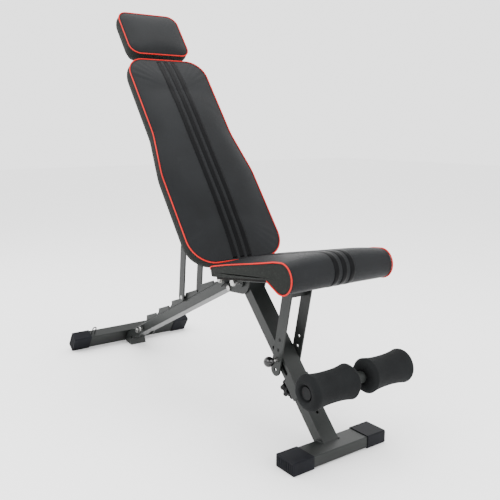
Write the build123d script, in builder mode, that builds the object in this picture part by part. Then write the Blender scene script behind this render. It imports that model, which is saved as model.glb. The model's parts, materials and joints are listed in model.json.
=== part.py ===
from build123d import *
import os
from math import atan2, cos, degrees, hypot, radians, sin, sqrt, tan

# Adjustable weight bench: rear foot, ladder rail and hub are fixed; the back, the front leg,
# the seat and their links hinge on them.
# X points to the front foot, Y to the sitter's left, Z up from the floor.
# Side-view positions are (x, z) with x counted forward from the rear foot's floor line.

# ---- rear foot ------------------------------------------------------------
rear_tube_height = 60.0      # wide face of the rear foot's tube
rear_tube_depth = 34.0
rear_span = 482.0            # over both caps
rear_lean = 35.0             # the wide face leans forward by this many degrees
sole_cut = 3.0               # how much of the cap's lowest corner is flattened to stand on
foot_wall = 2.0
cap_wall = 2.25
cap_length = 65.0
cap_end = 6.0
tube_corner = 3.5
disc_radius = 22.0
disc_height = 4.0
loop_wire = 2.2              # radius of the band loops' wire
loop_half_gap = 6.0
loop_reach = 34.0
loop_inset = 77.0            # from the foot's end to the middle of a band loop

# ---- ladder rail ----------------------------------------------------------
rail_start = (20.0, 20.0)
rail_slope = 26.5
rail_depth = 30.0
rail_end = 784.0
rail_wall = 2.0
rail_floor_gap = 6.0
hook_count = 5
hook_first = 286.0           # distance along the rail of the first valley
hook_pitch = 105.5
comb_thickness = 4.0
comb_base = 3.0
comb_tail = 37.0
bracket_sole = 4.0
bracket_bolts = (114.0, 143.0)

# ---- hub ------------------------------------------------------------------
hub_pivot = (798.0, 388.0)   # front leg and seat turn here
back_pivot = (727.0, 384.0)
hub_plate = 4.0
hub_radius = 37.0
hub_bolt_places = ((711.0, 365.0), (737.0, 357.0))
hub_corner = 11.0
bolt_radius = 5.0
hub_bolt_radius = 6.0

# ---- running clearances ---------------------------------------------------
side_gap = 0.3
link_gap = 0.3
lane_gap = 0.5
bore_gap = 0.05

# ---- front leg and foot ---------------------------------------------------
leg_width = 52.0
leg_depth = 33.0
leg_wall = 2.0
leg_slope = 47.0
leg_drop = 8.0               # lowest height of the leg's coped end
foot_x = 1157.5
front_tube_width = 65.5
front_tube_height = 30.0
front_span = 313.5
adjust_count = 4             # rear holes for the roller collar, the first behind its knob
adjust_pitch = 32.0
adjust_radius = 4.5
slot_up = 35.0               # how far the pin runs up and down the leg
slot_down = 43.0
slot_width = 12.0

# ---- back frame, pads and headrest ----------------------------------------
back_incline = 53.0
bar_width = 20.0
back_bar_depth = 30.0
back_bar_tail = 18.0
back_bar_end = 640.0
bar_wall = 1.8
bushing_radius = 11.0
cross_places = (200.0, 620.0)
cross_size = 25.0
cross_depth = 12.0
board_thickness = 10.0
board_inset = 14.0
pad_start = 25.5
pad_length = 740.0
pad_thickness = 48.0
pad_half_low = 162.0
pad_half_high = 140.0
waist_low = 300.0
waist_high = 445.0
headrest_gap = 26.0
headrest_length = 172.0
headrest_width = 216.0
headrest_corner = 32.0
socket_width = 33.6
socket_depth = 23.6
socket_wall = 2.5
socket_start = 598.0
socket_end = 742.0
post_tail = 630.0
post_end = 45.0              # how far the post passes the middle of the headrest

# ---- strut ----------------------------------------------------------------
strut_place = 367.0          # along the back frame from the back pivot
strut_hook = 2               # valley that holds the rod, counted from 0 at the rear
strut_plate = 4.5
strut_width = 30.0
rod_radius = 6.0
rod_ahead = 10.5
spacer_radius = 9.0

# ---- seat -----------------------------------------------------------------
seat_incline = 8.5
seat_bar_low = 4.0           # heights above the hub pivot
seat_bar_high = 24.0
seat_bar_start = -25.0
seat_bar_end = 240.0
seat_cross_place = 150.0
lug_radius = 16.0
lug_length = 40.0
seat_width = 329.0
seat_rear = 48.0
seat_corner = 9.0
seat_front = 300.0           # where the flat underside ends
seat_board_thickness = 8.0
seat_rear_height = 27.5
seat_mid_height = 36.0
nose_x = 360.0
nose_z = 36.0
nose_radius = 38.0
nose_under = 241.0

# ---- seat bracket and pull pin --------------------------------------------
bracket_top = (226.0, 14.0)  # along the seat from the hub pivot, and above it
pin_place = 252.0            # along the leg from the hub pivot
link_plate = 4.5
link_width = 36.0
link_eye = 9.5
link_shoulder = 34.0
hole_pitch = 30.0
holes_below = 1
holes_above = 2
pin_radius = 4.5
pin_bore_gap = 0.1
pin_near = 49.0
pin_tip = 45.0
ball_radius = 14.5

# ---- rollers --------------------------------------------------------------
collar_place = 311.0
collar_length = 57.0
collar_wall = 3.0
collar_gap = 0.3
knob_place = 325.0
knob_radius = 29.0
knob_thickness = 20.0
knob_lobes = 7
arm_size = 30.0
roller_axis = (1235.0, 227.0)
roller_radius = 44.0
roller_waist = 38.5
roller_inner = 20.0
roller_outer = 163.0
roller_bar_radius = 12.5
roller_recess = 8.0

rear_cap_height = rear_tube_height + 2 * cap_wall
rear_cap_depth = rear_tube_depth + 2 * cap_wall
front_cap_height = front_tube_height + 2 * cap_wall
front_cap_width = front_tube_width + 2 * cap_wall
rear_reach = -rear_cap_depth * cos(radians(rear_lean))
front_reach = roller_axis[0] + roller_radius
x_mid = (rear_reach + front_reach) / 2

rail_width = leg_width + 2 * side_gap
hub_inner = rail_width / 2
hub_outer = hub_inner + hub_plate
link_inner = hub_outer + lane_gap
link_outer = link_inner + link_plate
bar_inner = link_outer + lane_gap
bar_outer = bar_inner + bar_width
board_low = back_bar_depth / 2
pad_low = board_low + board_thickness
pad_high = pad_low + pad_thickness
foot_top = cap_wall + front_tube_height


def tilted(point, angle, y=0.0):
    """Side plane through a side-view point, its x axis raised by angle, its normal towards -Y."""
    return Plane(
        origin=(point[0] - x_mid, y, point[1]),
        x_dir=(cos(radians(angle)), 0, sin(radians(angle))),
        z_dir=(0, -1, 0),
    )


def side(y=0.0):
    return tilted((0, 0), 0, y)


def back_plane(y=0.0):
    """Along the back frame from its pivot; local y points out of the pad's front."""
    return Plane(
        origin=(back_pivot[0] - x_mid, y, back_pivot[1]),
        x_dir=(-cos(radians(back_incline)), 0, sin(radians(back_incline))),
        z_dir=(0, 1, 0),
    )


def across(plane, distance):
    """Section plane of a bar that runs along a side plane's x axis."""
    return Plane(
        origin=plane.from_local_coords(Vector(distance, 0, 0)),
        x_dir=(0, 1, 0),
        z_dir=plane.x_dir,
    )


def box_tube(plane, start, end, width, depth, wall, rise=0.0, corner=2.5):
    """Open-ended rectangular tube along plane's x axis, its middle raised by rise."""
    centre = Plane(
        origin=plane.from_local_coords(Vector(start, rise, 0)),
        x_dir=(0, 1, 0),
        z_dir=plane.x_dir,
    )
    with BuildSketch(centre) as section:
        RectangleRounded(width, depth, corner)
        RectangleRounded(width - 2 * wall, depth - 2 * wall, corner / 2, mode=Mode.SUBTRACT)
    extrude(section.sketch, amount=end - start)


def cross_hole(plane, place, radius):
    """Hole right across the part at a local point of a side plane."""
    with BuildSketch(plane) as hole:
        with Locations(place):
            Circle(radius)
    extrude(hole.sketch, amount=rear_span, both=True, mode=Mode.SUBTRACT)


SIDES = {"right": -1, "left": 1}


def hex_bolt(plane, place, radius, half_length, head):
    """Bolt across the bench with a hexagon head and a nut outside half_length."""
    with BuildSketch(plane) as shank:
        with Locations(place):
            Circle(radius)
    extrude(shank.sketch, amount=half_length + head, both=True)
    for hand in SIDES.values():
        with BuildSketch(plane.offset(hand * half_length)) as hexagon:
            with Locations(place):
                RegularPolygon(radius * 1.75, 6)
        extrude(hexagon.sketch, amount=hand * head)


def save(part, name):
    part.label = name
    export_step(part, f"parts/{name}.step")


os.makedirs("parts", exist_ok=True)
foot_plane = tilted((0, -sole_cut), 90 - rear_lean)
foot_centre = (rear_cap_height / 2, rear_cap_depth / 2)
rail = tilted(rail_start, rail_slope)
leg = tilted(hub_pivot, -leg_slope)
seat = tilted(hub_pivot, seat_incline)
back = back_plane()

# ---- rear foot ------------------------------------------------------------
with BuildPart() as rear_foot_tube:
    with BuildSketch(foot_plane):
        with Locations(foot_centre):
            RectangleRounded(rear_tube_height, rear_tube_depth, tube_corner)
            RectangleRounded(
                rear_tube_height - 2 * foot_wall,
                rear_tube_depth - 2 * foot_wall,
                tube_corner / 2,
                mode=Mode.SUBTRACT,
            )
    extrude(amount=rear_span / 2 - cap_end, both=True)
save(rear_foot_tube.part, "rear_foot_tube")


def foot_cap(plane, centre, size, tube, span, hand):
    """End cap that sleeves over a foot's tube: a rounded block with the tube's pocket."""
    mouth = plane.offset(-hand * (span / 2 - cap_length))
    with BuildSketch(mouth) as block:
        with Locations(centre):
            RectangleRounded(*size, tube_corner)
    extrude(block.sketch, amount=-hand * cap_length)
    fillet(faces().sort_by(Axis.Y)[-1 if hand > 0 else 0].edges(), 2.5)
    with BuildSketch(mouth) as pocket:
        with Locations(centre):
            RectangleRounded(*tube, tube_corner)
    extrude(pocket.sketch, amount=-hand * (cap_length - cap_end), mode=Mode.SUBTRACT)


for word, hand in SIDES.items():
    with BuildPart() as rear_cap:
        foot_cap(
            foot_plane,
            foot_centre,
            (rear_cap_height, rear_cap_depth),
            (rear_tube_height, rear_tube_depth),
            rear_span,
            hand,
        )
        with BuildSketch(Plane.XY):
            Rectangle(3000, 3000)
        extrude(amount=-50, mode=Mode.SUBTRACT)
    save(rear_cap.part, f"rear_cap_{word}")

with BuildPart() as rear_discs:
    for hand in SIDES.values():
        middle = Vector(foot_centre[0], rear_cap_depth, -hand * (rear_span - cap_length) / 2)
        disc_face = Plane(
            origin=foot_plane.from_local_coords(middle), x_dir=(0, 1, 0), z_dir=foot_plane.y_dir
        )
        with BuildSketch(disc_face):
            Circle(disc_radius)
            Circle(disc_radius - 5, mode=Mode.SUBTRACT)
            Circle(disc_radius - 9)
        extrude(amount=disc_height)
        with BuildSketch(disc_face):
            Circle(disc_radius - 5)
        extrude(amount=disc_height / 2)
save(rear_discs.part, "rear_discs")

for word, hand in SIDES.items():
    root = Vector(rear_cap_height - cap_wall, foot_centre[1], -hand * (rear_span / 2 - loop_inset))
    loop_face = Plane(
        origin=foot_plane.from_local_coords(root), x_dir=(0, 1, 0), z_dir=-foot_plane.y_dir
    )
    with BuildPart() as band_loop:
        with BuildLine(loop_face) as loop_path:
            left_leg = Line((-loop_half_gap, 0), (-loop_half_gap, loop_reach - loop_half_gap))
            bow = RadiusArc(left_leg @ 1, (loop_half_gap, loop_reach - loop_half_gap), loop_half_gap)
            Line(bow @ 1, (loop_half_gap, 0))
        with BuildSketch(Plane(origin=left_leg @ 0, z_dir=foot_plane.x_dir)):
            Circle(loop_wire)
        sweep(path=loop_path.line)
    save(band_loop.part, f"band_loop_{word}")

# ---- ladder rail ----------------------------------------------------------
with BuildPart() as rail_tube:
    box_tube(rail, -60, rail_end, rail_width, rail_depth, rail_wall)
    with BuildSketch(foot_plane):
        with Locations((0, cap_wall)):
            Rectangle(300, 300, align=(Align.CENTER, Align.MIN))
    extrude(amount=rear_span, both=True, mode=Mode.SUBTRACT)
    with BuildSketch(Plane.XY.offset(rail_floor_gap)):
        Rectangle(3000, 3000)
    extrude(amount=-100, mode=Mode.SUBTRACT)
    for place in bracket_bolts:
        cross_hole(rail, (place, 0), bolt_radius)
    cross_hole(side(), hub_bolt_places[0], bolt_radius)
save(rail_tube.part, "rail_tube")

valley = rail_depth / 2 + comb_base
riser_run = 22.5
riser_rise = 7.5
hook_length = hook_pitch - riser_run - 1
comb_start = hook_first - 90
comb_outline = [(comb_start, rail_depth / 2), (comb_start, valley)]
for number in range(hook_count):
    tip = hook_first + number * hook_pitch
    comb_outline += [
        (tip - hook_length, valley + riser_rise),
        (tip - hook_length + 7, valley + 18),
        (tip - 1.5, valley + 9.5),
        (tip, valley + 7),
        (tip - 3, valley),
        (tip + 1, valley),
    ]
comb_outline += [(tip + comb_tail, valley), (tip + comb_tail, rail_depth / 2)]

for word, hand in SIDES.items():
    with BuildPart() as catch_comb:
        with BuildSketch(rail.offset(-hand * hub_inner)):
            Polygon(*comb_outline, align=None)
        extrude(amount=hand * comb_thickness)
    save(catch_comb.part, f"catch_comb_{word}")

with BuildPart() as rear_bracket:
    with BuildSketch(side()):
        Polygon(
            (8, 8), (47, 0), (66, 0), (55, 31), (70, 38), (128, 48), (168, 86), (160, 100), (38, 46),
            align=None,
        )
    extrude(amount=hub_outer, both=True)
    with BuildSketch(side()):
        Polygon(
            (-40, bracket_sole), (60.3, bracket_sole), (50.8, 31), (60, 36), (240, 40), (240, 180),
            (-40, 180),
            align=None,
        )
    extrude(amount=hub_inner, both=True, mode=Mode.SUBTRACT)
    with BuildSketch(rail):
        Rectangle(900, rail_depth)
    extrude(amount=hub_inner, both=True, mode=Mode.SUBTRACT)
    with BuildSketch(foot_plane):
        with Locations((0, cap_wall)):
            Rectangle(300, 300, align=(Align.CENTER, Align.MIN))
    extrude(amount=rear_span, both=True, mode=Mode.SUBTRACT)
    for place in bracket_bolts:
        cross_hole(rail, (place, 0), bolt_radius)
save(rear_bracket.part, "rear_bracket")

with BuildPart() as bracket_bolt_group:
    for place in bracket_bolts:
        hex_bolt(rail, (place, 0), bolt_radius, hub_outer, 6)
save(bracket_bolt_group.part, "rear_bracket_bolts")

# ---- hub ------------------------------------------------------------------
for word, hand in SIDES.items():
    with BuildPart() as hub_side:
        with BuildSketch(side(hand * hub_inner)) as hub_face:
            with Locations(hub_pivot):
                Circle(hub_radius)
            with Locations(back_pivot):
                Circle(hub_corner + 5)
            with Locations(*hub_bolt_places):
                Circle(hub_corner)
            make_hull(hub_face.edges())
            with BuildLine():
                Polyline(
                    (back_pivot[0] - 60, back_pivot[1] + 16),
                    (back_pivot[0], back_pivot[1] + 16),
                    (hub_pivot[0] + 40, hub_pivot[1] + 14),
                    (hub_pivot[0] + 40, hub_pivot[1] + 60),
                    (back_pivot[0] - 60, hub_pivot[1] + 60),
                    close=True,
                )
            make_face(mode=Mode.SUBTRACT)
        extrude(amount=-hand * hub_plate)
        cross_hole(side(), hub_pivot, hub_bolt_radius)
        cross_hole(side(), back_pivot, bolt_radius)
        for place in hub_bolt_places:
            cross_hole(side(), place, bolt_radius)
    save(hub_side.part, f"hub_plate_{word}")

with BuildPart() as hub_rail_bolt_group:
    for place in hub_bolt_places:
        hex_bolt(side(), place, bolt_radius, hub_outer, 5)
save(hub_rail_bolt_group.part, "hub_rail_bolts")

with BuildPart() as hub_bolt:
    hex_bolt(side(), hub_pivot, hub_bolt_radius, bar_outer + link_gap, 7)
save(hub_bolt.part, "hub_bolt")

with BuildPart() as back_bolt:
    hex_bolt(side(), back_pivot, bolt_radius, bar_outer + link_gap, 6)
save(back_bolt.part, "back_bolt")

# ---- back frame -----------------------------------------------------------
with BuildPart() as back_bushings:
    for hand in SIDES.values():
        with BuildSketch(side(hand * (hub_outer + link_gap))):
            with Locations(back_pivot):
                Circle(bushing_radius)
                Circle(bolt_radius + bore_gap, mode=Mode.SUBTRACT)
        extrude(amount=-hand * (bar_outer - hub_outer - link_gap))
save(back_bushings.part, "back_bushings")

for word, hand in SIDES.items():
    with BuildPart() as back_bar:
        box_tube(
            back_plane(hand * (bar_inner + bar_outer) / 2),
            -back_bar_tail,
            back_bar_end,
            bar_width,
            back_bar_depth,
            bar_wall,
        )
        cross_hole(back, (0, 0), bushing_radius + bore_gap)
        cross_hole(back, (strut_place, 0), bolt_radius)
    save(back_bar.part, f"back_bar_{word}")

for word, place in zip(("lower", "upper"), cross_places):
    with BuildPart() as back_cross:
        start = back.from_local_coords(Vector(place, board_low - cross_depth / 2, 0))
        with BuildSketch(Plane(origin=start, x_dir=back.x_dir, z_dir=(0, 1, 0))):
            RectangleRounded(cross_size, cross_depth, 2.5)
            RectangleRounded(cross_size - 4, cross_depth - 4, 1.5, mode=Mode.SUBTRACT)
        extrude(amount=bar_inner, both=True)
        with BuildSketch(across(back, place - cross_size)):
            Rectangle(socket_width, socket_depth)
        extrude(amount=2 * cross_size, mode=Mode.SUBTRACT if word == "upper" else Mode.PRIVATE)
    save(back_cross.part, f"back_cross_{word}")

with BuildPart() as strut_bolt:
    hex_bolt(back, (strut_place, 0), bolt_radius, bar_outer, 6)
save(strut_bolt.part, "strut_bolt")


def back_outline(inset):
    """Outline of the back pad: wider low down, waisted above, rounded at the corners."""
    low = pad_half_low - inset
    high = pad_half_high - inset
    bottom = pad_start + inset
    top = pad_start + pad_length - inset
    half = [
        (bottom, -low),
        (pad_start + waist_low, -low),
        (pad_start + waist_high, -high),
        (top, -high),
    ]
    corners = [76 - inset, 190, 190, 62 - inset]
    points = half + [(x, -y) for x, y in reversed(half)]
    with BuildLine() as outline:
        FilletPolyline(*points, radius=corners + corners[::-1], close=True)
    make_face(outline.edges())


def facing(height):
    """Plane of the back's face: local x up the back, local y across it."""
    return Plane(
        origin=back.from_local_coords(Vector(0, height, 0)), x_dir=back.x_dir, z_dir=back.y_dir
    )


with BuildPart() as back_board:
    with BuildSketch(facing(board_low)):
        back_outline(board_inset)
    extrude(amount=board_thickness)
save(back_board.part, "back_board")

with BuildPart() as back_pad:
    with BuildSketch(facing(pad_low)):
        back_outline(0)
    extrude(amount=pad_thickness)
    fillet(faces().sort_by(Axis(back.origin, back.y_dir))[-1].edges(), 9)
save(back_pad.part, "back_pad")

with BuildPart() as headrest_socket:
    box_tube(back, socket_start, socket_end, socket_width, socket_depth, socket_wall)
save(headrest_socket.part, "headrest_socket")

# ---- headrest -------------------------------------------------------------
headrest_low = pad_start + pad_length + headrest_gap
headrest_mid = headrest_low + headrest_length / 2
post_width = socket_width - 2 * (socket_wall + link_gap)
post_depth = socket_depth - 2 * (socket_wall + link_gap)
with BuildPart() as headrest_post:
    box_tube(back, post_tail, headrest_mid + post_end, post_width, post_depth, bar_wall)
save(headrest_post.part, "headrest_post")

with BuildPart() as headrest_plate:
    with BuildSketch(facing(post_depth / 2)):
        with Locations((headrest_mid, 0)):
            RectangleRounded(110, 90, 6)
    extrude(amount=board_low - post_depth / 2)
save(headrest_plate.part, "headrest_plate")

with BuildPart() as headrest_board:
    with BuildSketch(facing(board_low)):
        with Locations((headrest_mid, 0)):
            RectangleRounded(
                headrest_length - 2 * board_inset,
                headrest_width - 2 * board_inset,
                headrest_corner - board_inset,
            )
    extrude(amount=board_thickness)
save(headrest_board.part, "headrest_board")

with BuildPart() as headrest_pad:
    with BuildSketch(facing(pad_low)):
        with Locations((headrest_mid, 0)):
            RectangleRounded(headrest_length, headrest_width, headrest_corner)
    extrude(amount=pad_thickness)
    fillet(faces().sort_by(Axis(back.origin, back.y_dir))[-1].edges(), 9)
save(headrest_pad.part, "headrest_pad")

# ---- strut ----------------------------------------------------------------
rod_rail = hook_first + strut_hook * hook_pitch + rod_ahead
riser_angle = atan2(riser_rise, riser_run)
riser_here = valley + (rod_ahead - 1) * tan(riser_angle)
rod_height = riser_here + (rod_radius + link_gap) / cos(riser_angle)
rod_point = rail.from_local_coords(Vector(rod_rail, rod_height, 0))
top_point = back.from_local_coords(Vector(strut_place, 0, 0))
strut_length = hypot(top_point.X - rod_point.X, top_point.Z - rod_point.Z)
strut_angle = degrees(atan2(top_point.Z - rod_point.Z, top_point.X - rod_point.X))
rod_at = (rod_point.X + x_mid, rod_point.Z)
strut = tilted(rod_at, strut_angle)

for word, hand in SIDES.items():
    with BuildPart() as strut_bar:
        with BuildSketch(tilted(rod_at, strut_angle, hand * link_inner)):
            with Locations((strut_length / 2, 0)):
                SlotCenterToCenter(strut_length, strut_width)
        extrude(amount=-hand * strut_plate)
        cross_hole(strut, (0, 0), rod_radius)
        cross_hole(strut, (strut_length, 0), bolt_radius + bore_gap)
    save(strut_bar.part, f"strut_bar_{word}")

with BuildPart() as strut_rod:
    with BuildSketch(strut):
        Circle(rod_radius)
    extrude(amount=link_outer, both=True)
save(strut_rod.part, "strut_rod")

with BuildPart() as strut_spacer:
    with BuildSketch(strut):
        with Locations((strut_length, 0)):
            Circle(spacer_radius)
            Circle(bolt_radius + bore_gap, mode=Mode.SUBTRACT)
    extrude(amount=link_inner, both=True)
save(strut_spacer.part, "strut_spacer")

# ---- front leg and foot ---------------------------------------------------
leg_length = (hub_pivot[1] - leg_drop) / sin(radians(leg_slope)) + leg_depth
with BuildPart() as leg_tube:
    with BuildSketch(leg):
        Circle(leg_depth / 2)
        Rectangle(leg_length, leg_depth, align=(Align.MIN, Align.CENTER))
    extrude(amount=leg_width / 2, both=True)
    with BuildSketch(leg):
        with Locations((leg_depth / 2, 0)):
            Rectangle(leg_length, leg_depth - 2 * leg_wall, align=(Align.MIN, Align.CENTER))
    extrude(amount=leg_width / 2 - leg_wall, both=True, mode=Mode.SUBTRACT)
    with BuildSketch(side()):
        with Locations((foot_x, foot_top)):
            Rectangle(front_tube_width, 200, align=(Align.CENTER, Align.MAX))
        with Locations((foot_x, leg_drop)):
            Rectangle(600, 200, align=(Align.CENTER, Align.MAX))
    extrude(amount=leg_width, both=True, mode=Mode.SUBTRACT)
    cross_hole(leg, (0, 0), hub_bolt_radius + bore_gap)
    with BuildSketch(leg):
        with Locations((pin_place + (slot_down - slot_up) / 2, 0)):
            SlotOverall(slot_up + slot_down + slot_width, slot_width)
    extrude(amount=leg_width, both=True, mode=Mode.SUBTRACT)
    for number in range(adjust_count):
        drill = Plane(
            origin=leg.from_local_coords(Vector(knob_place + number * adjust_pitch, 0, 0)), x_dir=(0, 1, 0), z_dir=leg.y_dir
        )
        with BuildSketch(drill):
            Circle(adjust_radius)
        extrude(amount=leg_depth, both=True, mode=Mode.SUBTRACT)
save(leg_tube.part, "leg_tube")

front_plane = tilted((foot_x, 0), 0)
front_centre = (0, front_cap_height / 2)
with BuildPart() as front_foot_tube:
    with BuildSketch(front_plane):
        with Locations(front_centre):
            RectangleRounded(front_tube_width, front_tube_height, tube_corner)
            RectangleRounded(
                front_tube_width - 2 * foot_wall,
                front_tube_height - 2 * foot_wall,
                tube_corner / 2,
                mode=Mode.SUBTRACT,
            )
    extrude(amount=front_span / 2 - cap_end, both=True)
save(front_foot_tube.part, "front_foot_tube")

for word, hand in SIDES.items():
    with BuildPart() as front_cap:
        foot_cap(
            front_plane,
            front_centre,
            (front_cap_width, front_cap_height),
            (front_tube_width, front_tube_height),
            front_span,
            hand,
        )
    save(front_cap.part, f"front_cap_{word}")

# ---- roller arm and rollers -----------------------------------------------
collar_outer = (
    leg_width + 2 * (collar_gap + collar_wall),
    leg_depth + 2 * (collar_gap + collar_wall),
)
boss_radius = 9.0
boss_height = 12.0
with BuildPart() as roller_collar:
    with BuildSketch(across(leg, collar_place)):
        RectangleRounded(*collar_outer, 3)
        Rectangle(leg_width + 2 * collar_gap, leg_depth + 2 * collar_gap, mode=Mode.SUBTRACT)
    extrude(amount=collar_length)
    boss = Plane(
        origin=leg.from_local_coords(Vector(knob_place, -collar_outer[1] / 2, 0)),
        x_dir=(0, 1, 0),
        z_dir=-leg.y_dir,
    )
    with BuildSketch(boss):
        Circle(boss_radius)
    extrude(amount=boss_height)
    with BuildSketch(boss):
        Circle(bolt_radius + bore_gap)
    extrude(amount=boss_height, mode=Mode.SUBTRACT)
    with BuildSketch(boss):
        Circle(bolt_radius + bore_gap)
    extrude(amount=-collar_wall, mode=Mode.SUBTRACT)
save(roller_collar.part, "roller_collar")

with BuildPart() as knob:
    knob_face = boss.offset(boss_height + link_gap)
    with BuildSketch(knob_face):
        Circle(knob_radius - 7)
        with PolarLocations(knob_radius - 7, knob_lobes):
            Circle(7)
    extrude(amount=knob_thickness)
    fillet(faces().sort_by(Axis(boss.origin, boss.z_dir))[-1].edges(), 3)
    with BuildSketch(knob_face):
        Circle(bolt_radius)
    extrude(amount=-(boss_height + link_gap + collar_wall))
save(knob.part, "star_knob")

arm_start = leg.from_local_coords(Vector(collar_place + collar_length / 2, 0, 0))
arm_run = roller_axis[0] - x_mid - arm_start.X
arm_rise = roller_axis[1] - arm_start.Z
arm_angle = degrees(atan2(arm_rise, arm_run))
arm_length = hypot(arm_run, arm_rise)
arm = tilted((arm_start.X + x_mid, arm_start.Z), arm_angle)
with BuildPart() as roller_arm:
    box_tube(arm, 0, arm_length, arm_size, arm_size, leg_wall)
    with BuildSketch(arm):
        with Locations((arm_length, 0)):
            Circle(arm_size / 2)
    extrude(amount=arm_size / 2, both=True)
    with BuildSketch(leg):
        with Locations((collar_place, 0)):
            Rectangle(400, collar_outer[1], align=(Align.CENTER, Align.CENTER))
    extrude(amount=arm_size, both=True, mode=Mode.SUBTRACT)
    cross_hole(side(), roller_axis, roller_bar_radius)
save(roller_arm.part, "roller_arm")

bar_half = roller_outer - roller_recess
with BuildPart() as roller_bar:
    with BuildSketch(side()):
        with Locations(roller_axis):
            Circle(roller_bar_radius)
            Circle(roller_bar_radius - 2, mode=Mode.SUBTRACT)
    extrude(amount=bar_half, both=True)
save(roller_bar.part, "roller_bar")

with BuildPart() as roller_plugs:
    for hand in SIDES.values():
        with BuildSketch(side(hand * bar_half)):
            with Locations(roller_axis):
                Circle(roller_bar_radius + 3)
        extrude(amount=-hand * 4)
        with BuildSketch(side(hand * bar_half)):
            with Locations(roller_axis):
                Circle(roller_bar_radius - 2)
        extrude(amount=hand * 12)
save(roller_plugs.part, "roller_plugs")

for word, hand in SIDES.items():
    with BuildPart() as roller:
        centre = Vector(roller_axis[0] - x_mid, 0, roller_axis[1])
        with BuildSketch(Plane(origin=centre, x_dir=(0, hand, 0), z_dir=(hand, 0, 0))):
            with BuildLine():
                inner = roller_bar_radius + bore_gap
                edge = 8
                foot_line = Line((roller_inner, inner), (roller_inner, roller_radius - edge))
                end_arc = RadiusArc(
                    foot_line @ 1, (roller_inner + edge, roller_radius), edge, short_sagitta=True
                )
                waist = ThreePointArc(
                    end_arc @ 1,
                    ((roller_inner + roller_outer) / 2, roller_waist),
                    (roller_outer - edge, roller_radius),
                )
                far_arc = RadiusArc(waist @ 1, (roller_outer, roller_radius - edge), edge)
                Polyline(
                    far_arc @ 1,
                    (roller_outer, 20),
                    (roller_outer - roller_recess - link_gap, 20),
                    (roller_outer - roller_recess - link_gap, inner),
                    foot_line @ 0,
                )
            make_face()
        revolve(axis=Axis(centre, (0, 1, 0)))
    save(roller.part, f"roller_{word}")

# ---- seat -----------------------------------------------------------------
seat_bar_middle = (seat_bar_low + seat_bar_high) / 2
seat_bar_height = seat_bar_high - seat_bar_low
for word, hand in SIDES.items():
    with BuildPart() as seat_bar:
        box_tube(
            tilted(hub_pivot, seat_incline, hand * (bar_inner + bar_outer) / 2),
            seat_bar_start,
            seat_bar_end,
            bar_width,
            seat_bar_height,
            bar_wall,
            rise=seat_bar_middle,
        )
        cross_hole(seat, (0, 0), hub_bolt_radius + bore_gap)
        cross_hole(seat, bracket_top, bolt_radius)
    save(seat_bar.part, f"seat_bar_{word}")
    with BuildPart() as seat_lug:
        with BuildSketch(tilted(hub_pivot, seat_incline, hand * link_inner)):
            Circle(lug_radius)
            Rectangle(2 * lug_radius, seat_bar_high, align=(Align.CENTER, Align.MIN))
            with Locations((0, seat_bar_low)):
                Rectangle(lug_length, seat_bar_height, align=(Align.MIN, Align.MIN))
        extrude(amount=-hand * (bar_inner - link_inner))
        cross_hole(seat, (0, 0), hub_bolt_radius + bore_gap)
    save(seat_lug.part, f"seat_lug_{word}")

with BuildPart() as seat_cross:
    with BuildSketch(seat):
        with Locations((seat_cross_place, seat_bar_middle)):
            RectangleRounded(cross_size, seat_bar_height, 2.5)
            RectangleRounded(cross_size - 4, seat_bar_height - 4, 1.5, mode=Mode.SUBTRACT)
    extrude(amount=bar_inner, both=True)
save(seat_cross.part, "seat_crossbar")

seat_board_top = seat_bar_high + seat_board_thickness
with BuildPart() as seat_board:
    with BuildSketch(seat):
        with Locations((seat_rear + board_inset, seat_bar_high)):
            Rectangle(
                seat_front - seat_rear - 1.5 * board_inset,
                seat_board_thickness,
                align=(Align.MIN, Align.MIN),
            )
    extrude(amount=seat_width / 2 - board_inset, both=True)
save(seat_board.part, "seat_board")

under = radians(nose_under)
with BuildPart() as seat_pad:
    with BuildSketch(seat):
        Polygon(
            (seat_rear, seat_board_top),
            (seat_rear, seat_board_top + seat_rear_height),
            ((seat_rear + nose_x) / 2, seat_board_top + seat_mid_height),
            (nose_x, nose_z + nose_radius),
            (nose_x, nose_z),
            (nose_x + nose_radius * cos(under), nose_z + nose_radius * sin(under)),
            (seat_front, seat_board_top),
            align=None,
        )
        with Locations((nose_x, nose_z)):
            Circle(nose_radius)
    extrude(amount=seat_width / 2, both=True)
    rear_corners = edges().filter_by(lambda e: abs(e.tangent_at(0.5).dot(seat.y_dir)) > 0.99)
    fillet(rear_corners, seat_corner)
save(seat_pad.part, "seat_pad")

# ---- seat bracket and pull pin --------------------------------------------
hinge_point = seat.from_local_coords(Vector(*bracket_top))
pin_point = leg.from_local_coords(Vector(pin_place, 0, 0))
link_length = hypot(hinge_point.X - pin_point.X, hinge_point.Z - pin_point.Z)
link_angle = degrees(atan2(hinge_point.Z - pin_point.Z, hinge_point.X - pin_point.X))
pin_at = (pin_point.X + x_mid, pin_point.Z)
link = tilted(pin_at, link_angle)
below = holes_below * hole_pitch
for word, hand in SIDES.items():
    with BuildPart() as bracket_bar:
        with BuildSketch(tilted(pin_at, link_angle, hand * link_inner)) as bar_face:
            with Locations((-below, 0), (link_length - link_shoulder, 0)):
                Circle(link_width / 2)
            with Locations((link_length, 0)):
                Circle(link_eye)
            make_hull(bar_face.edges())
        extrude(amount=-hand * link_plate)
        cross_hole(link, (link_length, 0), bolt_radius + bore_gap)
        for number in range(-holes_below, holes_above + 1):
            cross_hole(link, (number * hole_pitch, 0), pin_radius + pin_bore_gap)
    save(bracket_bar.part, f"bracket_bar_{word}")

with BuildPart() as bracket_cross:
    with BuildSketch(link):
        with Locations((link_length - link_shoulder - 8, 0)):
            RectangleRounded(26, 5, 1)
    extrude(amount=link_inner, both=True)
save(bracket_cross.part, "bracket_cross")

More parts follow.
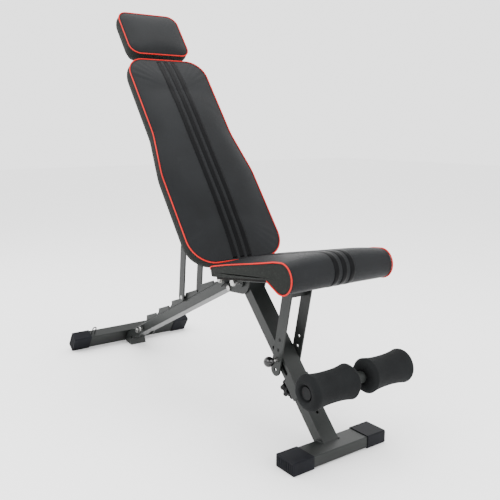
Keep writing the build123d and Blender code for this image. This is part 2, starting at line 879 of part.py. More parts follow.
with BuildPart() as bracket_bolt:
    hex_bolt(seat, bracket_top, bolt_radius, bar_outer, 6)
save(bracket_bolt.part, "bracket_bolt")

with BuildPart() as pull_pin:
    with BuildSketch(link.offset(-pin_tip)):
        Circle(pin_radius)
    extrude(amount=pin_tip + pin_near + 4)
    chamfer(edges().sort_by(Axis.Y)[-1], 1.5)
    with BuildSketch(link.offset(link_outer + link_gap)):
        Circle(pin_radius + 3)
    extrude(amount=pin_near - link_outer - link_gap)
save(pull_pin.part, "pull_pin")

with BuildPart() as pull_ball:
    ball_centre = Vector(pin_point.X, -(pin_near + sqrt(ball_radius**2 - 49)), pin_point.Z)
    with Locations(ball_centre):
        Sphere(ball_radius)
    with BuildSketch(link.offset(pin_near - ball_radius)):
        Circle(ball_radius)
    extrude(amount=ball_radius, mode=Mode.SUBTRACT)
    with BuildSketch(link.offset(pin_near)):
        Circle(pin_radius)
    extrude(amount=4, mode=Mode.SUBTRACT)
save(pull_ball.part, "pull_ball")
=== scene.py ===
import json
import math
import bpy
import bmesh
from mathutils import Matrix, Vector, noise
from mathutils.bvhtree import BVHTree
from mathutils.kdtree import KDTree


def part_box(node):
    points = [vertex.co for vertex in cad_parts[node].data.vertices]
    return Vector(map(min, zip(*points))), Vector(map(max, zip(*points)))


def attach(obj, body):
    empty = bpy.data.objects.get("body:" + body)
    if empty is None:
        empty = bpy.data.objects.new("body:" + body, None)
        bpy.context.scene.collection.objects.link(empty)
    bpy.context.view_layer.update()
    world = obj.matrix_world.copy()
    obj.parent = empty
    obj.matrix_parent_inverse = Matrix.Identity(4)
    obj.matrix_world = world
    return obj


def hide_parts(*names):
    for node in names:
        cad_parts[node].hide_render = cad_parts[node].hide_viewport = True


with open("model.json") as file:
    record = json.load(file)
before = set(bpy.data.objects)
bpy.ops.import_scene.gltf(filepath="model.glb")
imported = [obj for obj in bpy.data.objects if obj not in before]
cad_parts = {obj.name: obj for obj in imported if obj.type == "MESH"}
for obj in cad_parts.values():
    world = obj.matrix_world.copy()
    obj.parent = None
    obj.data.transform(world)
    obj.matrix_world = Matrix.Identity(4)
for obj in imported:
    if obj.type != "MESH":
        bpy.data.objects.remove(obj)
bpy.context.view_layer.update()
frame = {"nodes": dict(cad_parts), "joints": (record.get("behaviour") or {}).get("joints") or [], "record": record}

MM = 0.001
NODES = frame["nodes"]
JOINTS = {joint["name"]: joint for joint in frame["joints"]}

# ---- places and directions, from the joints ---------------------------------
ACROSS = Vector((0, 1, 0))
BACK_PIVOT = Vector(JOINTS["back_lower"]["pos_m"])
HUB = Vector(JOINTS["leg_fold"]["pos_m"])
ROLLER_CENTRE = Vector(JOINTS["roller_spin_left"]["pos_m"])
UP_BACK = Vector(JOINTS["headrest_lift"]["axis"])
OUT_OF_BACK = Vector((UP_BACK.z, 0, -UP_BACK.x))
SEAT_TILT = math.radians(8.5)
ALONG_SEAT = Vector((math.cos(SEAT_TILT), 0, math.sin(SEAT_TILT)))
OUT_OF_SEAT = Vector((-math.sin(SEAT_TILT), 0, math.cos(SEAT_TILT)))


def on_back(along, across, out):
    """A point of the back frame, in millimetres from its pivot."""
    return BACK_PIVOT + (UP_BACK * along + ACROSS * across + OUT_OF_BACK * out) * MM


def on_seat(along, across, out):
    return HUB + (ALONG_SEAT * along + ACROSS * across + OUT_OF_SEAT * out) * MM


# ---- shader building ----------------------------------------------------------
class Val:
    """A socket that can be used in a sum."""

    def __init__(self, shader, socket):
        self.shader = shader
        self.socket = socket

    def _math(self, operation, other, flipped=False):
        pair = (other, self) if flipped else (self, other)
        return self.shader.node("Math", {"operation": operation}, {0: pair[0], 1: pair[1]})

    def __add__(self, other):
        return self._math("ADD", other)

    def __radd__(self, other):
        return self._math("ADD", other, True)

    def __sub__(self, other):
        return self._math("SUBTRACT", other)

    def __mul__(self, other):
        return self._math("MULTIPLY", other)

    def __rmul__(self, other):
        return self._math("MULTIPLY", other, True)

    def sine(self):
        return self.shader.node("Math", {"operation": "SINE"}, {0: self})

    def between(self, low, high):
        """0 below low, 1 above high, smooth between."""
        return self.shader.node(
            "MapRange",
            {"interpolation_type": "SMOOTHSTEP"},
            {"Value": self, "From Min": low, "From Max": high},
            "Result",
        )


class Shader:
    """A material with one Principled shader, built from named finishes."""

    def __init__(self, name):
        self.material = bpy.data.materials.new(name)
        self.material.use_nodes = True
        self.tree = self.material.node_tree
        self.surface = self.tree.nodes["Principled BSDF"]
        coordinates = self.tree.nodes.new("ShaderNodeTexCoord")
        self.place = Val(self, coordinates.outputs["Object"])

    def node(self, kind, settings, values, output=0):
        made = self.tree.nodes.new("ShaderNode" + kind)
        for key, value in settings.items():
            setattr(made, key, value)
        for key, value in values.items():
            if isinstance(value, Val):
                self.tree.links.new(value.socket, made.inputs[key])
            else:
                made.inputs[key].default_value = value
        return Val(self, made.outputs[output])

    def stretched(self, scale, turn=(0, 0, 0)):
        return self.node("Mapping", {}, {"Vector": self.place, "Scale": scale, "Rotation": turn})

    def noise(self, scale, detail=3.0, place=None, roughness=0.55):
        values = {"Vector": place or self.place, "Scale": scale, "Detail": detail}
        values["Roughness"] = roughness
        return self.node("TexNoise", {}, values, "Fac")

    def cells(self, scale, feature="F1", place=None):
        values = {"Vector": place or self.place, "Scale": scale}
        return self.node("TexVoronoi", {"feature": feature}, values, "Distance")

    def axes(self, place=None):
        split = self.node("SeparateXYZ", {}, {"Vector": place or self.place})
        outputs = split.socket.node.outputs
        return [Val(self, outputs[axis]) for axis in ("X", "Y", "Z")]

    def colours(self, amount, dark, light):
        """Mix of two colours by amount."""
        values = {"Factor": amount, "A": (*dark, 1), "B": (*light, 1)}
        made = self.tree.nodes.new("ShaderNodeMix")
        made.data_type = "RGBA"
        self.tree.links.new(amount.socket, made.inputs["Factor"])
        for socket in made.inputs:
            if socket.type == "RGBA":
                socket.default_value = values[socket.name]
        colour = [socket for socket in made.outputs if socket.type == "RGBA"][0]
        return Val(self, colour)

    def over(self, amount, below, above):
        """One colour link painted over another where amount is 1."""
        made = self.tree.nodes.new("ShaderNodeMix")
        made.data_type = "RGBA"
        self.tree.links.new(amount.socket, made.inputs["Factor"])
        inputs = [socket for socket in made.inputs if socket.type == "RGBA"]
        for socket, colour in zip(inputs, (below, above)):
            if isinstance(colour, Val):
                self.tree.links.new(colour.socket, socket)
            else:
                socket.default_value = (*colour, 1)
        colour = [socket for socket in made.outputs if socket.type == "RGBA"][0]
        return Val(self, colour)

    def set(self, **sockets):
        for key, value in sockets.items():
            socket = self.surface.inputs[key.replace("_", " ")]
            if isinstance(value, Val):
                self.tree.links.new(value.socket, socket)
            else:
                socket.default_value = value

    def bump(self, height, strength, distance):
        values = {"Height": height, "Strength": strength, "Distance": distance}
        raised = self.node("Bump", {}, values, "Normal")
        self.set(Normal=raised)


def powder_coat(name, dark, light, shine=0.34):
    """Satin powder coat: fine orange peel, faint clouding, a few rubbed spots."""
    finish = Shader(name)
    cloud = finish.noise(9, 4)
    rubbed = finish.noise(70, 5, roughness=0.7).between(0.66, 0.76)
    base = finish.colours(cloud.between(0.3, 0.7), dark, light)
    worn = tuple(min(1.0, channel * 1.55) for channel in light)
    finish.set(Base_Color=finish.over(rubbed * 0.5, base, worn))
    finish.set(Roughness=shine + 0.10 * cloud + 0.06 * rubbed)
    peel = finish.noise(1100, 2) + 0.35 * finish.noise(320, 2)
    finish.bump(peel, 0.16, 0.0004)
    return finish.material


def moulded(name, dark, light, rough, grain=900, strength=0.25):
    """Moulded plastic with a spark-eroded grain and dusty patches."""
    finish = Shader(name)
    dust = finish.noise(28, 5, roughness=0.65)
    finish.set(Base_Color=finish.colours(dust.between(0.35, 0.8), dark, light))
    finish.set(Roughness=rough + 0.12 * dust)
    finish.bump(finish.noise(grain, 2) + 0.4 * finish.cells(grain * 0.7), strength, 0.0003)
    return finish.material


def plated(name, colour, rough):
    """Zinc plating: fine scratches and a slightly dull bloom."""
    finish = Shader(name)
    bloom = finish.noise(120, 4)
    scratch = finish.noise(420, 3, place=finish.stretched((1, 8, 1), (0.3, 0, 0.6)))
    dull = tuple(channel * 0.68 for channel in colour)
    finish.set(Base_Color=finish.colours(bloom.between(0.3, 0.75), colour, dull), Metallic=1.0)
    finish.set(Roughness=rough + 0.16 * bloom)
    finish.bump(scratch, 0.12, 0.0002)
    return finish.material


def leathergrain(name, dark, light, rough, emboss=0.0, crease=0.5):
    """Upholstery vinyl: pebble grain with creases, and a diamond emboss where asked."""
    finish = Shader(name)
    cloud = finish.noise(7, 4)
    pebble = finish.cells(620, "F1")
    fine = finish.noise(1500, 2)
    fold = finish.noise(38, 3, place=finish.stretched((1, 2.2, 1)))
    worn = finish.noise(26, 5, roughness=0.7).between(0.58, 0.74)
    base = finish.colours(cloud.between(0.3, 0.72), dark, light)
    rubbed = tuple(channel * 1.35 for channel in light)
    finish.set(Base_Color=finish.over(0.45 * worn, base, rubbed))
    finish.set(Roughness=rough + 0.08 * pebble + 0.07 * cloud - 0.04 * worn)
    height = 0.55 * pebble + 0.18 * fine + crease * 0.25 * fold
    if emboss:
        x, y, z = finish.axes()
        run = 1700.0
        weave = ((x + y) * run).sine() * ((x - y + z) * run).sine()
        height = height + emboss * weave
    finish.bump(height, 0.34, 0.0007)
    return finish.material


def woven(name, dark, light, pitch, rough=0.72):
    """Coarse plain weave of two thread tones."""
    finish = Shader(name)
    x, y, z = finish.axes()
    beat = 2 * math.pi / pitch
    over = ((x * 0.9 + z * 0.8) * beat).sine()
    under = ((y + 0.35 * z - 0.35 * x) * beat).sine()
    thread = (over * under).between(-0.4, 0.5)
    fibre = finish.noise(900, 3)
    speck = finish.noise(210, 2).between(0.5, 0.7)
    base = finish.colours(thread * 0.65 + 0.35 * fibre, dark, light)
    pale = tuple(channel * 1.5 for channel in light)
    finish.set(Base_Color=finish.over(0.4 * speck, base, pale))
    finish.set(Roughness=rough + 0.1 * fibre)
    finish.bump(thread + 0.3 * fibre, 0.5, 0.0006)
    return finish.material


def foam_skin(name, dark, light):
    """Closed-cell foam: pitted skin with soft handling marks."""
    finish = Shader(name)
    cell = finish.cells(1100, "F1")
    pits = finish.noise(430, 4, roughness=0.7)
    mark = finish.noise(16, 4)
    finish.set(Base_Color=finish.colours((mark * 0.6 + 0.4 * pits).between(0.35, 0.7), dark, light))
    finish.set(Roughness=0.74 + 0.12 * pits)
    finish.bump(cell + 0.7 * pits, 0.42, 0.0007)
    return finish.material


def painted_ply(name):
    """Black stained plywood with open grain."""
    finish = Shader(name)
    grain = finish.noise(60, 5, place=finish.stretched((1, 14, 1)))
    finish.set(
        Base_Color=finish.colours(grain.between(0.35, 0.7), (0.005, 0.005, 0.005), (0.014, 0.013, 0.012)))
    finish.set(Roughness=0.7 + 0.1 * grain)
    finish.bump(grain, 0.3, 0.0005)
    return finish.material


GRAPHITE = powder_coat(
    "graphite_coat", (0.00806, 0.00930, 0.00880), (0.01240, 0.01395, 0.01321), 0.36)
# Lighter copy of the same graphite coat: painted light for the rail, foot and leg tubes, standing in for the light
# they catch.
GRAPHITE_PAINTED_LIGHT = powder_coat(
    "graphite_coat_painted_light", (0.00868, 0.00992, 0.00942), (0.01302, 0.01463, 0.01383), 0.32)
CAP_PLASTIC = moulded(
    "foot_cap_plastic", (0.00192, 0.00216, 0.00360), (0.00450, 0.00510, 0.00750), 0.46)
KNOB_PLASTIC = moulded(
    "knob_plastic", (0.0025, 0.0027, 0.003), (0.006, 0.0065, 0.007), 0.4, 700, 0.3)
PLUG_PLASTIC = moulded("plug_plastic", (0.002, 0.0022, 0.0025), (0.005, 0.0055, 0.006), 0.5)
BALL_PLASTIC = moulded(
    "ball_plastic", (0.002, 0.002, 0.0022), (0.004, 0.004, 0.0045), 0.12, 300, 0.04)
NYLON = moulded("bushing_nylon", (0.16, 0.155, 0.14), (0.24, 0.235, 0.215), 0.42)
BUMPER = moulded("bumper_rubber", (0.004, 0.004, 0.0045), (0.009, 0.009, 0.0095), 0.62, 600, 0.4)
ZINC = plated("zinc_plate", (0.42, 0.42, 0.41), 0.26)
WIRE_COAT = powder_coat("wire_coat", (0.006, 0.006, 0.0065), (0.011, 0.011, 0.012), 0.28)
VINYL = leathergrain("black_vinyl", (0.00330, 0.00374, 0.00429), (0.00550, 0.00616, 0.00704), 0.42)
SEAT_VINYL = leathergrain(
    "embossed_vinyl", (0.00302, 0.00341, 0.00396), (0.00506, 0.00572, 0.00660), 0.40, 0.8)
STRIPE = leathergrain(
    "gloss_stripe_vinyl", (0.0008, 0.0009, 0.0012), (0.0014, 0.0016, 0.0020), 0.3, 0.0, 0.1)
SIDE_WEAVE = woven("side_weave", (0.00315, 0.00350, 0.00322), (0.01400, 0.01575, 0.01400), 0.0026)
PIPING_RED = leathergrain(
    "red_piping_vinyl", (0.36, 0.0045, 0.0030), (0.50, 0.0080, 0.0055), 0.4, 0.0, 0.2)
THREAD = woven("dark_thread", (0.00300, 0.00300, 0.00300), (0.01100, 0.01100, 0.01100), 0.0008)
FOAM = foam_skin("roller_foam", (0.00374, 0.00418, 0.00451), (0.00688, 0.00770, 0.00814))
PLYWOOD = painted_ply("stained_ply")
WELD = powder_coat("weld_coat", (0.012, 0.0135, 0.013), (0.019, 0.0210, 0.0205), 0.42)
for soft_finish in (
        VINYL, SEAT_VINYL, SIDE_WEAVE, FOAM, CAP_PLASTIC, PIPING_RED, THREAD, KNOB_PLASTIC,
        PLUG_PLASTIC, PLYWOOD):
    soft_finish.node_tree.nodes["Principled BSDF"].inputs["Specular IOR Level"].default_value = 0.1
for coated_finish in (GRAPHITE, GRAPHITE_PAINTED_LIGHT, WELD):
    coated_finish.node_tree.nodes["Principled BSDF"].inputs["Specular IOR Level"].default_value = 0.2
STRIPE.node_tree.nodes["Principled BSDF"].inputs["Specular IOR Level"].default_value = 0.05

SLOT_FINISH = {
    "frame": GRAPHITE,
    "cap": CAP_PLASTIC,
    "disc": BUMPER,
    "zinc": ZINC,
    "wire": WIRE_COAT,
    "board": PLYWOOD,
    "plug": PLUG_PLASTIC,
    "knob": KNOB_PLASTIC,
    "ball": BALL_PLASTIC,
    "bush": NYLON,
}
PAINTED_LIGHT_NODES = ("rail_tube", "rear_foot_tube", "front_foot_tube", "leg_tube")
for part in frame["record"]["subparts"]:
    finish = SLOT_FINISH.get(part["material_slot"])
    # the rail, foot and leg tubes take the lighter copy of the coat, which is painted light
    if part["node"] in PAINTED_LIGHT_NODES:
        finish = GRAPHITE_PAINTED_LIGHT
    if finish is not None:
        for slot in NODES[part["node"]].material_slots:
            slot.material = finish


# ---- making pieces ------------------------------------------------------------
def new_piece(name, mesh, body, smooth=True):
    piece = bpy.data.objects.new(name, mesh)
    bpy.context.scene.collection.objects.link(piece)
    for face in mesh.polygons:
        face.use_smooth = smooth
    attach(piece, body)
    return piece


def mesh_from(name, points, faces, materials, indices=None):
    mesh = bpy.data.meshes.new(name)
    mesh.from_pydata([tuple(point) for point in points], [], faces)
    for material in materials:
        mesh.materials.append(material)
    if indices:
        for face, index in zip(mesh.polygons, indices):
            face.material_index = index
    return mesh


def tidy_mesh(mesh, merge=0.00002):
    """Merges doubles and points the faces outwards."""
    shell = bmesh.new()
    shell.from_mesh(mesh)
    bmesh.ops.remove_doubles(shell, verts=shell.verts, dist=merge)
    bmesh.ops.recalc_face_normals(shell, faces=shell.faces)
    shell.to_mesh(mesh)
    shell.free()
    return mesh


def rounded_outline(corners, radii, step):
    """Closed outline through corners with each corner rounded, points about a step apart."""
    path = []
    count = len(corners)
    for index, corner in enumerate(corners):
        here = Vector(corner)
        before = (Vector(corners[index - 1]) - here).normalized()
        after = (Vector(corners[(index + 1) % count]) - here).normalized()
        half = before.angle(after) / 2
        reach = radii[index] / math.tan(half)
        centre = here + (before + after).normalized() * (radii[index] / math.sin(half))
        first = here + before * reach - centre
        last = here + after * reach - centre
        sweep = first.angle(last)
        side = 1 if first.x * last.y - first.y * last.x > 0 else -1
        steps = max(3, int(radii[index] * sweep / step))
        for turn in range(steps + 1):
            angle = side * sweep * turn / steps
            path.append(centre + Vector((
                first.x * math.cos(angle) - first.y * math.sin(angle),
                first.x * math.sin(angle) + first.y * math.cos(angle),
            )))
    return evened(path, step)


def evened(path, step, closed=True):
    """The same path with its points spaced evenly."""
    ring = path + [path[0]] if closed else path
    lengths = [(b - a).length for a, b in zip(ring, ring[1:])]
    total = sum(lengths)
    count = max(8, round(total / step))
    marks = [total * k / count for k in range(count if closed else count + 1)]
    out = []
    index = 0
    passed = 0.0
    for mark in marks:
        while index < len(lengths) - 1 and passed + lengths[index] < mark:
            passed += lengths[index]
            index += 1
        part = (mark - passed) / max(lengths[index], 1e-9)
        out.append(ring[index].lerp(ring[index + 1], min(1.0, max(0.0, part))))
    return out


def tube(path, radius, closed=True, sides=10, ripple=0.0):
    """Points and faces of a round cord along a path of points."""
    points = []
    faces = []
    count = len(path)
    normal = None
    for index, point in enumerate(path):
        before = path[index - 1] if closed or index else path[index]
        after = path[(index + 1) % count] if closed or index < count - 1 else path[index]
        ahead = (after - before).normalized()
        if normal is None:
            normal = ahead.orthogonal().normalized()
        normal = (normal - ahead * normal.dot(ahead)).normalized()
        other = ahead.cross(normal)
        size = radius * (1 + ripple * math.sin(index * 1.9))
        for side in range(sides):
            angle = 2 * math.pi * side / sides
            points.append(point + (normal * math.cos(angle) + other * math.sin(angle)) * size)
    for index in range(count if closed else count - 1):
        following = (index + 1) % count
        for side in range(sides):
            a = index * sides + side
            b = index * sides + (side + 1) % sides
            c = following * sides + (side + 1) % sides
            d = following * sides + side
            faces.append((a, b, c, d))
    if not closed:
        faces.append(tuple(reversed(range(sides))))
        faces.append(tuple(range((count - 1) * sides, count * sides)))
    return points, faces


# ---- cushions -----------------------------------------------------------------
def inflate(mesh, held, pressure, reach):
    """Blows a cushion up by cloth simulation, its held points pinned, moves limited to reach."""
    start = [vertex.co.copy() for vertex in mesh.vertices]
    skin = bpy.data.objects.new("inflating", mesh)
    bpy.context.scene.collection.objects.link(skin)
    pins = skin.vertex_groups.new(name="held")
    pins.add(held, 1.0, "REPLACE")
    cloth = skin.modifiers.new("cloth", "CLOTH")
    cloth.settings.quality = 5
    cloth.settings.mass = 0.25
    cloth.settings.tension_stiffness = 18
    cloth.settings.compression_stiffness = 18
    cloth.settings.shear_stiffness = 8
    cloth.settings.bending_stiffness = 1.5
    cloth.settings.vertex_group_mass = "held"
    cloth.settings.use_pressure = True
    cloth.settings.uniform_pressure_force = pressure
    cloth.settings.effector_weights.gravity = 0
    cloth.point_cache.frame_start = 1
    cloth.point_cache.frame_end = 20
    scene = bpy.context.scene
    for number in range(1, 21):
        scene.frame_set(number)
    depsgraph = bpy.context.evaluated_depsgraph_get()
    blown = skin.evaluated_get(depsgraph).to_mesh()
    moved = [vertex.co.copy() for vertex in blown.vertices]
    skin.evaluated_get(depsgraph).to_mesh_clear()
    for vertex, origin, goal in zip(mesh.vertices, start, moved):
        shift = goal - origin
        length = shift.length
        if length > 1e-9:
            limited = reach * math.tanh(length / reach)
            vertex.co = origin + shift * (limited / length)
    bpy.data.objects.remove(skin)
    scene.frame_set(1)


def finish_cushion(name, mesh, body, node):
    cushion = new_piece(name, mesh, body)
    smoothing = cushion.modifiers.new("subdivision", "SUBSURF")
    smoothing.levels = 1
    smoothing.render_levels = 1
    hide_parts(node)
    return cushion


def surface_of(cushion):
    """Search tree of the cushion's finished surface."""
    depsgraph = bpy.context.evaluated_depsgraph_get()
    return BVHTree.FromObject(cushion, depsgraph)


PAD_LOW = 25.0
SEAM = 67.0
CROWN = 10.0


def flat_cushion(name, outline, middle, body, node):
    """Board-backed cushion: an outline pulled up to a piped seam and a crowned face."""
    low_mid, high_mid = middle
    spots = []

    def ring(share, height, grow=0.0):
        line = []
        for point in outline:
            centre = Vector((min(max(point.x, low_mid), high_mid), 0.0))
            reach = point - centre
            scale = share + grow / max(reach.length, 1.0)
            spot = centre + reach * scale
            line.append((spot.x, spot.y, height))
        spots.append(line)

    under = (0.0, 0.3, 0.6, 0.85, 1.0)
    for share in under:
        ring(share * 0.97, PAD_LOW)
    sides = (0.06, 0.2, 0.36, 0.52, 0.68, 0.84, 1.0)
    for rise in sides:
        ring(0.97 + 0.03 * min(1.0, rise * 2.2), PAD_LOW + (SEAM - PAD_LOW) * rise,
             3.0 * math.sin(math.pi * rise))
    shares = (0.985, 0.96, 0.925, 0.88, 0.82, 0.74, 0.65, 0.55, 0.44, 0.33, 0.22, 0.11, 0.0)
    for share in shares:
        ring(share, SEAM + CROWN * (1 - share ** 5))
    count = len(outline)
    points = [on_back(*spot) for line in spots for spot in line]
    faces = []
    indices = []
    for level in range(len(spots) - 1):
        woven_side = len(under) - 1 <= level < len(under) + len(sides) - 1
        for index in range(count):
            following = (index + 1) % count
            faces.append((level * count + index, level * count + following,
                          (level + 1) * count + following, (level + 1) * count + index))
            indices.append(1 if woven_side else 0)
    mesh = tidy_mesh(mesh_from(name, points, faces, [VINYL, SIDE_WEAVE], indices), 0.0004)
    lowest = on_back(0, 0, PAD_LOW + 1.5).dot(OUT_OF_BACK)
    seam_level = on_back(0, 0, SEAM).dot(OUT_OF_BACK)
    rim = SeamRing([on_back(*spot) for spot in spots[len(under) + len(sides) - 1]])
    held = []
    for vertex in mesh.vertices:
        height = vertex.co.dot(OUT_OF_BACK)
        if height < lowest or (abs(height - seam_level) < 0.0006 and rim.near(vertex.co)):
            held.append(vertex.index)
    inflate(mesh, held, 4.0, 0.009)
    cushion = finish_cushion(name, mesh, body, node)
    seam = [on_back(*spot) for spot in spots[len(under) + len(sides) - 1]]
    return cushion, seam


class SeamRing:
    """Tells whether a point lies on a ring of points."""

    def __init__(self, ring):
        self.tree = KDTree(len(ring))
        for index, point in enumerate(ring):
            self.tree.insert(point, index)
        self.tree.balance()

    def near(self, point, reach=0.0008):
        return self.tree.find(point)[2] < reach


def piping(name, seam, outwards, body, closed=True):
    """Red cord sewn in the seam."""
    path = [point + out * 0.0009 for point, out in zip(seam, outwards)]
    points, faces = tube(path, 0.0018, closed)
    return new_piece(name, tidy_mesh(mesh_from(name, points, faces, [PIPING_RED])), body)


def outward_of(seam, normal):
    """Directions out of a closed seam, square to it and to normal."""
    count = len(seam)
    middle = sum(seam, Vector()) / count
    out = []
    for index in range(count):
        ahead = (seam[(index + 1) % count] - seam[index - 1]).normalized()
        side = ahead.cross(normal).normalized()
        out.append(side if side.dot(seam[index] - middle) > 0 else -side)
    return out


def strip_on(name, rows, down, tree, width, body):
    """Thin strip laid on a cushion: rows of (point, direction in) that are cast onto it."""
    shares = (-0.5, -0.44, -0.15, 0.15, 0.44, 0.5)
    lifts = (-0.00025, 0.0005, 0.0006, 0.0006, 0.0005, -0.00025)
    points = []
    for start, inward in rows:
        for share, lift in zip(shares, lifts):
            origin = start + ACROSS * (width * share)
            hit = tree.ray_cast(origin, inward)
            place = hit[0] if hit[0] is not None else origin + inward * down
            points.append(place - inward * lift)
    wide = len(shares)
    faces = []
    for row in range(len(rows) - 1):
        for column in range(wide - 1):
            a = row * wide + column
            faces.append((a, a + 1, a + wide + 1, a + wide))
    mesh = mesh_from(name, points, faces, [STRIPE])
    facing = mesh.polygons[len(mesh.polygons) // 2]
    if facing.normal.dot(rows[len(rows) // 2][1]) > 0:
        mesh.flip_normals()
    strip = new_piece(name, mesh, body)
    back = strip.modifiers.new("thickness", "SOLIDIFY")
    back.thickness = 0.0009
    back.offset = -1
    return strip


BACK_CORNERS = [(25.5, -162), (325.5, -162), (470.5, -140), (765.5, -140),
                (765.5, 140), (470.5, 140), (325.5, 162), (25.5, 162)]
BACK_RADII = [76, 190, 190, 62, 62, 190, 190, 76]
back_line = rounded_outline(BACK_CORNERS, BACK_RADII, 7.5)
back_cushion, back_seam = flat_cushion("back_cushion", back_line, (170, 630), "back", "back_pad")

HEAD_LOW, HEAD_HIGH, HEAD_HALF, HEAD_RADIUS = 791.5, 963.5, 108.0, 34.0
head_corners = [
    (HEAD_LOW, -HEAD_HALF), (HEAD_HIGH, -HEAD_HALF), (HEAD_HIGH, HEAD_HALF), (HEAD_LOW, HEAD_HALF)]
head_line = rounded_outline(head_corners, [HEAD_RADIUS] * 4, 6.0)


def short_middle(low, high):
    """Keeps the shorter middle line of a wide cushion inside it."""
    return ((low + high) / 2 - 1, (low + high) / 2 + 1)


head_cushion, head_seam = flat_cushion(
    "headrest_cushion", head_line, short_middle(HEAD_LOW, HEAD_HIGH), "headrest", "headrest_pad")
for name, seam, body in (
    ("back_piping", back_seam, "back"), ("headrest_piping", head_seam, "headrest")):
    piping(name, seam, outward_of(seam, OUT_OF_BACK), body)

STRIPE_WIDTH = 0.017
STRIPE_PLACES = (-25.5, 0.0, 25.5)
back_surface = surface_of(back_cushion)
for number, across in enumerate(STRIPE_PLACES):
    rows = [(on_back(along, across, 130), -OUT_OF_BACK) for along in range(31, 762, 6)]
    strip_on(f"back_stripe_{number}", rows, 0.05, back_surface, STRIPE_WIDTH, "back")

# ---- seat cushion -------------------------------------------------------------
SEAT_HALF = 164.5
NOSE = (360.0, 36.0, 38.0)
SEAT_REAR = 48.0
REAR_ROUND = 9.0


def seat_profile(step):
    """Side outline of the seat: flat under the board, round the nose, back over the top."""
    nose_x, nose_z, nose_r = NOSE
    path = [Vector((SEAT_REAR + 4, 32.0)), Vector((296.0, 32.0)), Vector((303.0, 29.5))]
    for degrees in range(-119, 91, 8):
        angle = math.radians(degrees)
        path.append(Vector((nose_x + nose_r * math.cos(angle), nose_z + nose_r * math.sin(angle))))
    path += [Vector((334.0, 75.0)), Vector((302.0, 72.8)), Vector((250.0, 70.2)), Vector(
        (198.0, 68.2)),
             Vector((140.0, 65.6)), Vector((90.0, 62.6)), Vector((58.0, 60.3)), Vector(
                 (51.0, 58.6)),
             Vector((SEAT_REAR, 54.0)), Vector((SEAT_REAR, 38.0))]
    return evened(path, step)


def seat_point(point, across, grow=0.0):
    """Rounds the rear corners in plan and puts a profile point in place."""
    over = max(0.0, abs(across) - (SEAT_HALF - REAR_ROUND))
    back_off = REAR_ROUND - math.sqrt(max(0.0, REAR_ROUND ** 2 - over ** 2))
    fade = min(1.0, max(0.0, 1 - (point.x - SEAT_REAR) / 70.0))
    return on_seat(point.x + back_off * fade, across + math.copysign(grow, across), point.y)


def seat_cushion_mesh():
    profile = seat_profile(7.0)
    count = len(profile)
    rows = 42
    edge = [SEAT_HALF * (1 - 2 * k / rows) for k in range(rows + 1)]
    lines = []
    sides = (0.0, 0.25, 0.5, 0.75, 0.93)

    def shrunk(point, share):
        centre = Vector((min(max(point.x, 72.0), 360.0), 0.0))
        centre.y = 45.0 - 9.0 * (centre.x - 72.0) / 288.0
        return centre + (point - centre) * share

    for share in sides:
        lines.append(
            [seat_point(shrunk(point, share), SEAT_HALF, 2.5 * (1 - share ** 2)) for point in profile])
    for across in edge:
        crown = 1 - (abs(across) / SEAT_HALF) ** 2.6
        line = []
        for point in profile:
            lifted = point.copy()
            if point.y > 40:
                lifted = point + Vector((0.0, 9.0 * crown * min(1.0, (point.y - 40) / 20)))
            line.append(seat_point(lifted, across))
        lines.append(line)
    for share in reversed(sides):
        lines.append(
            [seat_point(shrunk(point, share), -SEAT_HALF, 2.5 * (1 - share ** 2)) for point in profile])
    points = [point for line in lines for point in line]
    faces = []
    indices = []
    for level in range(len(lines) - 1):
        panel = level < len(sides) or level >= len(sides) + rows
        for index in range(count):
            following = (index + 1) % count
            faces.append((level * count + index, level * count + following,
                          (level + 1) * count + following, (level + 1) * count + index))
            indices.append(1 if panel else 0)
    mesh = mesh_from("seat_cushion", points, faces, [SEAT_VINYL, SIDE_WEAVE], indices)
    return tidy_mesh(mesh, 0.0003), profile, lines[len(sides)], lines[len(sides) + rows]


seat_mesh, seat_line, seat_seam_left, seat_seam_right = seat_cushion_mesh()
rims = [SeamRing(seat_seam_left), SeamRing(seat_seam_right)]
board_level = on_seat(0, 0, 33.0).dot(OUT_OF_SEAT)
rear_limit = on_seat(302, 0, 0).dot(ALONG_SEAT)
seat_held = []
for vertex in seat_mesh.vertices:
    on_board = vertex.co.dot(OUT_OF_SEAT) < board_level and vertex.co.dot(ALONG_SEAT) < rear_limit
    if on_board or any(rim.near(vertex.co) for rim in rims):
        seat_held.append(vertex.index)
inflate(seat_mesh, seat_held, 4.0, 0.007)
seat_cushion = finish_cushion("seat_cushion", seat_mesh, "seat", "seat_pad")

first = min(range(len(seat_line)), key=lambda k: (seat_line[k] - Vector((303, 29.5))).length)
last = min(range(len(seat_line)), key=lambda k: (seat_line[k] - Vector((SEAT_REAR, 54))).length)
for word, seam, hand in (("left", seat_seam_left, 1), ("right", seat_seam_right, -1)):
    stretch = seam[first:last + 1]
    piping(f"seat_piping_{word}", stretch, [ACROSS * hand] * len(stretch), "seat", closed=False)

seat_surface = surface_of(seat_cushion)
seat_top = seat_profile(5.0)
for number, across in enumerate(STRIPE_PLACES):
    rows = []
    for index in range(1, len(seat_top) - 1):
        point = seat_top[index]
        if point.y < 1.5 and point.x < 352 or point.x < 56:
            continue
        if point.y <= 33 and point.x < 345:
            continue
        ahead = (seat_top[index + 1] - seat_top[index - 1]).normalized()
        out = Vector((ahead.y, -ahead.x))
        inward = -(ALONG_SEAT * out.x + OUT_OF_SEAT * out.y)
        rows.append((on_seat(point.x + out.x * 40, across, point.y + out.y * 40), inward))
    strip_on(f"seat_stripe_{number}", rows, 0.04, seat_surface, STRIPE_WIDTH, "seat")


